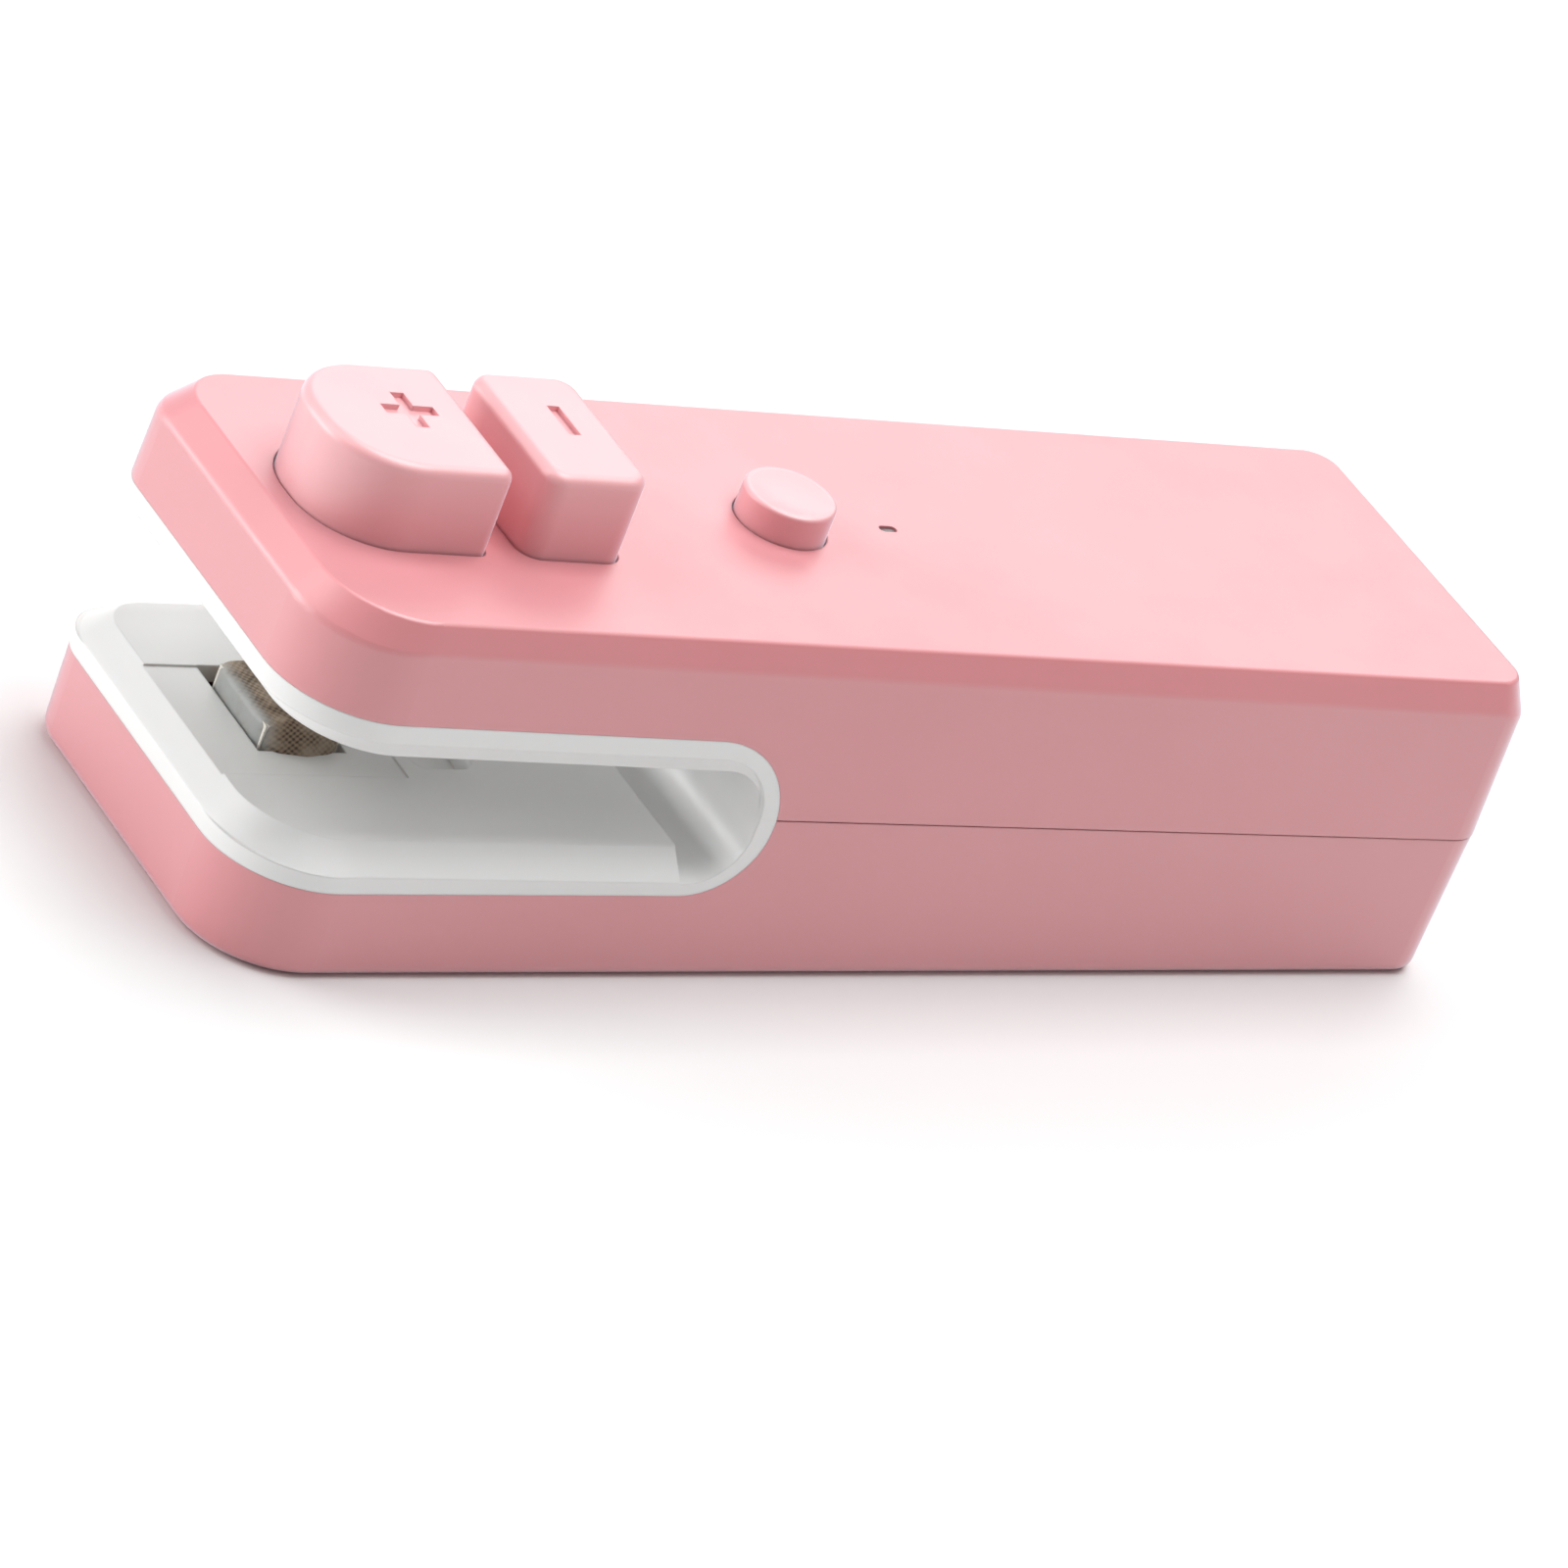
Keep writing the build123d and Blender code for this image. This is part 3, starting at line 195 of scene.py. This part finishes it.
def moulded(name, dark, light, rough=(0.34, 0.44), grain=0.006, soft=0.0, sheen=0.0,
            bloom=0.0):
    """Fine-grained injection-moulded plastic with slow drifts of tone and rounded edges.

    sheen and bloom are the weights of its pale cast and of its soft coat.
    """
    t = Tree(name)
    drift = t.noise(28, 2.0)
    t.link(t.mix(t.spread(drift, 0.35, 0.65), dark, light), "Base Color")
    fine = t.noise(5200, 2.0, 0.6)
    flow = t.noise(240, 3.0)
    rubbed = t.math("ADD", t.math("MULTIPLY", fine, 0.35), t.math("MULTIPLY", flow, 0.65))
    t.link(t.spread(rubbed, 0.35, 0.65, *rough), "Roughness")
    under = t.bump(flow, 0.02 * MM, 0.25, t.rounded(EDGE_RADIUS))
    t.link(t.bump(fine, grain * MM, 0.5, under), "Normal")
    t.set(IOR=1.55, Subsurface_Weight=soft, Subsurface_Scale=0.0015)
    t.set(Subsurface_Radius=(1.0, 0.45, 0.4))
    t.set(Sheen_Weight=sheen, Sheen_Roughness=SHEEN_ROUGHNESS, Sheen_Tint=rgba(SHEEN_TINT))
    t.set(Coat_Weight=bloom, Coat_Roughness=BLOOM_ROUGHNESS, Coat_IOR=BLOOM_IOR)
    return t.material


def filled_nylon(name):
    """Black nylon with short glass fibres just under its skin."""
    t = Tree(name)
    fibres = t.noise(900, 4.0, 0.7, t.stretch(1, 1, 3.5))
    t.link(t.mix(t.spread(fibres, 0.52, 0.72), "141416", "2A2A2E"), "Base Color")
    t.link(t.spread(t.noise(3000), 0.3, 0.7, 0.38, 0.56), "Roughness")
    t.link(t.bump(fibres, 0.012 * MM, 0.4, t.rounded(EDGE_RADIUS)), "Normal")
    return t.material


def silicone_rubber(name):
    """Milky silicone rubber, matt, with a little dust on it."""
    t = Tree(name)
    cloud = t.noise(320, 4.0)
    dust = t.spread(t.noise(4200, 2.0), 0.66, 0.74)
    body = t.mix(t.spread(cloud, 0.35, 0.65), "CFCBC3", "DCD9D2")
    t.link(t.mix(dust, body, "F2F0EC"), "Base Color")
    t.link(t.spread(cloud, 0.3, 0.7, 0.55, 0.72), "Roughness")
    t.link(t.bump(cloud, 0.03 * MM, 0.4, t.rounded(EDGE_RADIUS)), "Normal")
    t.set(Subsurface_Weight=0.3, Subsurface_Scale=0.002)
    return t.material


def metal(name, dark, light, along, rough=(0.22, 0.36), scratch=0.004, spots=None):
    """Metal with fine lines drawn along one axis; spots is the colour of its tarnish."""
    t = Tree(name)
    scale = {"X": (0.06, 1, 1), "Y": (1, 0.06, 1), "Z": (1, 1, 0.06)}[along]
    lines = t.noise(7000, 3.0, 0.65, t.stretch(*scale))
    cloud = t.noise(380, 4.0)
    colour = t.mix(t.spread(lines, 0.3, 0.7), dark, light)
    if spots:
        colour = t.mix(t.spread(cloud, 0.56, 0.72, 0.0, 0.7), colour, spots)
    t.link(colour, "Base Color")
    t.link(t.spread(t.math("ADD", lines, cloud), 0.7, 1.3, *rough), "Roughness")
    t.link(t.bump(lines, scratch * MM, 0.5, t.rounded(EDGE_RADIUS / 4)), "Normal")
    t.set(Metallic=1.0)
    return t.material


def pressed_mica(name):
    """Insulating board pressed from mica flakes."""
    t = Tree(name)
    flakes = t.cells(1300, vector=t.stretch(1, 1, 3))
    tone = t.mix(t.spread(t.noise(700, 4.0), 0.3, 0.7), "8A7350", "C2AC80")
    t.link(t.mix(t.spread(flakes, 0.25, 0.5), tone, "D9C9A4"), "Base Color")
    t.link(t.spread(flakes, 0.1, 0.6, 0.25, 0.6), "Roughness")
    t.link(t.bump(flakes, 0.02 * MM, 0.5), "Normal")
    return t.material


def unglazed_ceramic(name):
    """White fired ceramic with open pores."""
    t = Tree(name)
    pores = t.spread(t.cells(2600), 0.05, 0.22)
    tone = t.mix(t.noise(260, 3.0), "D8D3C8", "E6E2DA")
    t.link(t.mix(pores, "A49D90", tone), "Base Color")
    t.link(t.spread(t.noise(1800), 0.3, 0.7, 0.7, 0.9), "Roughness")
    t.link(t.bump(pores, 0.02 * MM, 0.6), "Normal")
    return t.material


def coated_cloth(name, front):
    """Brown glass cloth under a coat of PTFE, painted pale grey on the bar's front as a painted
    sheen, and smooth there.
    """
    t = Tree(name)
    pitch = 2 * math.pi / (0.55 * MM)
    side = t.math("SINE", t.math("MULTIPLY", t.axis("X"), pitch), 0)
    fall = t.math("ADD", t.axis("Y"), t.axis("Z"))
    across = t.math("SINE", t.math("MULTIPLY", fall, pitch), 0)
    weave = t.spread(t.math("MULTIPLY", side, across), -1.0, 1.0)
    specks = t.noise(5200, 3.0, 0.7)
    threads = t.mix(t.spread(t.math("ADD", weave, specks), 0.55, 1.35), "4A382B", "9E8972")
    stained = t.mix(t.spread(t.noise(520, 3.0), 0.42, 0.62), threads, "B3A08C")
    # painted sheen: pale grey painted over the bar's front face, fading out between 0.65 and 1.7 mm
    # from it
    painted_sheen_grey = t.mix(t.noise(900, 3.0), "989A98", "A9ABA9")
    ragged = t.math("ADD", t.axis("X"), t.math("MULTIPLY", t.noise(700, 3.0), 1.2 * MM))
    share = t.spread(ragged, front + 0.65 * MM, front + 1.7 * MM)
    t.link(t.mix(share, painted_sheen_grey, stained), "Base Color")
    t.link(t.spread(specks, 0.3, 0.7, 0.42, 0.6), "Roughness")
    height = t.math("MULTIPLY", t.math("ADD", weave, t.math("MULTIPLY", specks, 0.5)), share)
    t.link(t.bump(height, 0.06 * MM, 0.7), "Normal")
    return t.material


def insulation(name):
    """Silicone wire insulation, red on the +Y side and black on the -Y side, slightly waxy."""
    t = Tree(name)
    cloud = t.noise(600, 3.0)
    red = t.mix(cloud, "8E1416", "B3201F")
    black = t.mix(cloud, "121214", "26262A")
    t.link(t.mix(t.spread(t.axis("Y"), -0.1 * MM, 0.1 * MM), black, red), "Base Color")
    t.link(t.spread(t.noise(2600), 0.3, 0.7, 0.3, 0.45), "Roughness")
    t.link(t.bump(cloud, 0.03 * MM, 0.3), "Normal")
    return t.material


def smoky_acrylic(name):
    """Tinted acrylic, dark while the lamp under it is off."""
    t = Tree(name)
    haze = t.noise(900, 3.0)
    t.link(t.mix(haze, "6A5556", "857072"), "Base Color")
    t.link(t.spread(haze, 0.3, 0.7, 0.12, 0.25), "Roughness")
    t.set(Transmission_Weight=0.35, IOR=1.49)
    return t.material


def epoxy_package(name, dark, light):
    """Moulded package of an electronic part, with a sandy skin."""
    t = Tree(name)
    sand = t.noise(6500, 3.0, 0.7)
    t.link(t.mix(t.spread(sand, 0.35, 0.65), dark, light), "Base Color")
    t.link(t.spread(t.noise(900), 0.3, 0.7, 0.45, 0.62), "Roughness")
    t.link(t.bump(sand, 0.008 * MM, 0.5, t.rounded(EDGE_RADIUS / 2)), "Normal")
    return t.material


def solder_mask(name):
    """Green lacquer over copper tracks that show through it as paler, raised bands."""
    t = Tree(name)
    cells = t.cells(330, 0.15, vector=t.stretch(0.5, 1.4, 0))
    tracks = t.math("MULTIPLY", t.spread(cells, 0.28, 0.32), t.spread(cells, 0.48, 0.44))
    laminate = t.mix(t.noise(1200), "0B3A20", "104729")
    t.link(t.mix(tracks, laminate, "1F6B3C"), "Base Color")
    t.link(t.spread(t.noise(1500), 0.3, 0.7, 0.18, 0.3), "Roughness")
    t.link(t.bump(tracks, 0.02 * MM, 0.6), "Normal")
    t.set(Coat_Weight=0.4, Coat_Roughness=0.12)
    return t.material


def shrink_film(name):
    """Blue shrink film, glossy, pulled into fine wrinkles."""
    t = Tree(name)
    creases = t.noise(420, 4.0, 0.6, t.stretch(0.35, 1, 1))
    t.link(t.mix(t.spread(creases, 0.3, 0.7), "24508E", "2F62A8"), "Base Color")
    t.link(t.spread(creases, 0.3, 0.7, 0.16, 0.32), "Roughness")
    t.link(t.bump(creases, 0.06 * MM, 0.5), "Normal")
    return t.material


def foam(name):
    """White foam tape with open cells."""
    t = Tree(name)
    bubbles = t.cells(3600)
    t.link(t.mix(t.spread(bubbles, 0.1, 0.5), "B9B9B4", "E6E6E1"), "Base Color")
    t.link(t.spread(bubbles, 0.1, 0.5, 0.95, 0.8), "Roughness")
    t.link(t.bump(bubbles, 0.05 * MM, 0.8), "Normal")
    return t.material


bar_low, bar_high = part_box("cloth_cover")

MATERIALS = {
    "pink_shell": moulded("shell_plastic", "DA8085", "DD858A", soft=0.1, sheen=SHEEN, bloom=1.0),
    # painted light: the keys and button are the shell's pink plastic painted lighter, standing in
    # for bounce light from the bright top face
    "pink_key": moulded("key_plastic_painted_lighter", "EDA5A9", "EFAAAE", soft=0.1, sheen=SHEEN, bloom=1.0),
    "pink_button": moulded("button_plastic_painted_lighter", "EDA5A9", "EFAAAE", soft=0.1, sheen=SHEEN, bloom=1.0),
    "white_liner": moulded("liner_plastic", "ECECEB", "F0F0EF", (0.30, 0.40), soft=0.1),
    "black_nylon": filled_nylon("black_nylon"),
    "silicone": silicone_rubber("silicone_rubber"),
    "spring_steel": metal("drawn_wire", "6E6E70", "9A9A9C", "Z"),
    "blade_steel": metal("ground_blade", "9A9C9E", "C4C6C8", "Z", (0.16, 0.3), 0.006),
    "screw_steel": metal("zinc_plate", "86878A", "ABADB0", "X", (0.28, 0.42), 0.003, "6F7072"),
    "socket_steel": metal("tin_plate", "A2A3A5", "BFC0C2", "X", (0.2, 0.34), 0.003, "8B8A86"),
    "ribbon_metal": metal("rolled_strip", "6A6560", "8C8782", "Y", (0.3, 0.45), 0.004, "4C4038"),
    "terminal_brass": metal("stamped_brass", "A8823C", "D2AE62", "Z", (0.25, 0.4), 0.004, "7B5A2A"),
    "mica_base": pressed_mica("pressed_mica"),
    "ceramic_block": unglazed_ceramic("unglazed_ceramic"),
    "ptfe_cloth": coated_cloth("ptfe_cloth", bar_low.x),
    "wire_insulation": insulation("wire_insulation"),
    "clear_plastic": smoky_acrylic("smoky_acrylic"),
    "lamp_body": epoxy_package("lamp_package", "DCDCD4", "ECECE4"),
    "chip_black": epoxy_package("chip_package", "161618", "27272A"),
    "board_green": solder_mask("solder_mask"),
    "battery_wrap": shrink_film("shrink_film"),
    "foam_tape": foam("foam_tape"),
}

for part in frame["record"]["subparts"]:
    node = NODES[part["node"]]
    node.data.materials.clear()
    node.data.materials.append(MATERIALS[part["material_slot"]])


# ---------------------------------------------------------------- cloth over the heating bar

CLOTH_THICKNESS = 0.12 * MM
CLOTH_TUCK = 2.6 * MM          # how far it hangs into the slot round the bar
CLOTH_EDGE = 0.65 * MM         # rounding of its top edge
CLOTH_CORNER = 0.8 * MM
CLOTH_BULGE = 1.0 * MM         # how far its -Y end stands away from the bar
CLOTH_POINTS = 120


def cloth_ring(inset, height, bulge):
    """One level of the cloth: a rounded rectangle whose -Y side bows out, as loose cloth does."""
    middle = (bar_low + bar_high) / 2
    half_x = (bar_high.x - bar_low.x) / 2 - inset
    near, far = bar_low.y + CLOTH_BULGE + inset, bar_high.y - inset
    half_y = (far - near) / 2
    corner = max(CLOTH_CORNER - inset, 0.2 * MM)
    ring = []
    for k in range(CLOTH_POINTS):
        angle = 2 * math.pi * k / CLOTH_POINTS
        dx, dy = math.cos(angle), math.sin(angle)
        power = 2 + 6 * (1 - corner / half_x)
        reach = (abs(dx) ** power + abs(dy) ** power) ** (-1 / power)
        x, y = half_x * dx * reach, half_y * dy * reach
        if y < 0:
            loose = (1 - (x / half_x) ** 2) * (-y / half_y) ** 3
            pleat = 1 + 0.16 * math.sin(9 * x / half_x + 1.3) * math.cos(height / MM * 1.7)
            y -= bulge * loose * pleat
        ring.append(Vector((middle.x + x, (near + far) / 2 + y, height)))
    return ring


def cloth():
    """The cloth as one sheet: down into the slot, up the sides, over the edge and across the top."""
    top = bar_high.z - 0.02 * MM
    levels = []
    deck = top - CLOTH_TUCK
    for share in (0.0, 0.16, 0.32, 0.46, 0.58, 0.68, 0.78, 0.88):
        height = deck + (top - CLOTH_EDGE - deck) * share
        levels.append((0.0, height, CLOTH_BULGE * (0.92 - 0.75 * share ** 2)))
    for step in range(0, 7):
        angle = math.radians(15 * step)
        inset = CLOTH_EDGE * (1 - math.cos(angle))
        height = top - CLOTH_EDGE * (1 - math.sin(angle))
        levels.append((inset, height, CLOTH_BULGE * 0.2 * (1 - step / 6)))
    for inset in (1.0, 1.5, 2.1, 2.7, 3.1):
        levels.append((inset * MM, top - 0.01 * MM, 0.0))
    mesh = bmesh.new()
    rings = [[mesh.verts.new(p) for p in cloth_ring(*level)] for level in levels]
    for lower, upper in zip(rings, rings[1:]):
        for k in range(CLOTH_POINTS):
            j = (k + 1) % CLOTH_POINTS
            mesh.faces.new((lower[k], lower[j], upper[j], upper[k]))
    mesh.faces.new(rings[-1])
    data = bpy.data.meshes.new("bar_cloth")
    mesh.to_mesh(data)
    mesh.free()
    data.shade_smooth()
    piece = bpy.data.objects.new("bar_cloth", data)
    scene.collection.objects.link(piece)
    solid = piece.modifiers.new("thickness", "SOLIDIFY")
    solid.thickness = CLOTH_THICKNESS
    solid.offset = -1
    data.materials.append(MATERIALS["ptfe_cloth"])
    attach(piece, "body")
    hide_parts("cloth_cover")


cloth()


# ---------------------------------------------------------------- stage

def floor():
    """A plain pale floor far wider than the view."""
    mesh = bpy.data.meshes.new("floor")
    reach = FLOOR_REACH
    corners = [(-reach, -reach, 0), (reach, -reach, 0), (reach, reach, 0), (-reach, reach, 0)]
    mesh.from_pydata(corners, [], [(0, 1, 2, 3)])
    obj = bpy.data.objects.new("floor", mesh)
    obj.location.z = cad_low.z
    scene.collection.objects.link(obj)
    t = Tree("floor_paper")
    t.link(t.mix(t.noise(3.0), "E8E8E8", "EAEAEA"), "Base Color")
    t.set(Roughness=0.9, Specular_IOR_Level=0.1)
    mesh.materials.append(t.material)


def panel(name, place, size, power):
    """A soft rectangular studio light."""
    data = bpy.data.lights.new(name, "AREA")
    data.shape = "RECTANGLE"
    data.size, data.size_y = size
    data.energy = power
    light = bpy.data.objects.new(name, data)
    light.location = place
    light.rotation_euler = (Vector(AIM) - Vector(place)).to_track_quat("-Z", "Y").to_euler()
    scene.collection.objects.link(light)


def camera():
    """Looks at the sealer from its nose's near corner, turned a little about the view."""
    data = bpy.data.cameras.new("camera")
    data.sensor_width = SENSOR_WIDTH
    data.lens = FOCAL_LENGTH
    data.clip_start = 0.01
    obj = bpy.data.objects.new("camera", data)
    view = Vector(CAMERA_VIEW)
    turn = Matrix.Rotation(math.radians(CAMERA_ROLL), 3, "Z")
    obj.rotation_euler = (view.to_track_quat("-Z", "Y").to_matrix() @ turn).to_euler()
    obj.location = CAMERA_PLACE
    scene.collection.objects.link(obj)
    scene.camera = obj


def sky(strength):
    """The same soft light from all round."""
    world = bpy.data.worlds.new("studio")
    world.use_nodes = True
    back = world.node_tree.nodes["Background"]
    back.inputs["Color"].default_value = (1, 1, 1, 1)
    back.inputs["Strength"].default_value = strength
    scene.world = world


floor()
sky(WORLD_STRENGTH)
camera()
panel("overhead_panel", (0.2, 0, 0.85), (0.6, 0.6), 7.2)
panel("back_panel", (0.42, 0.6, 0.42), (0.6, 0.4), 1.8)
panel("high_front_panel", (0.1, -0.45, 0.75), (0.5, 0.4), 0.7)
panel("high_nose_panel", (-0.55, 0.35, 0.6), (0.5, 0.4), 2.1)
panel("low_nose_panel", (-0.75, 0.45, 0.1), (0.5, 0.3), 4.4)
scene.view_settings.view_transform = "Standard"
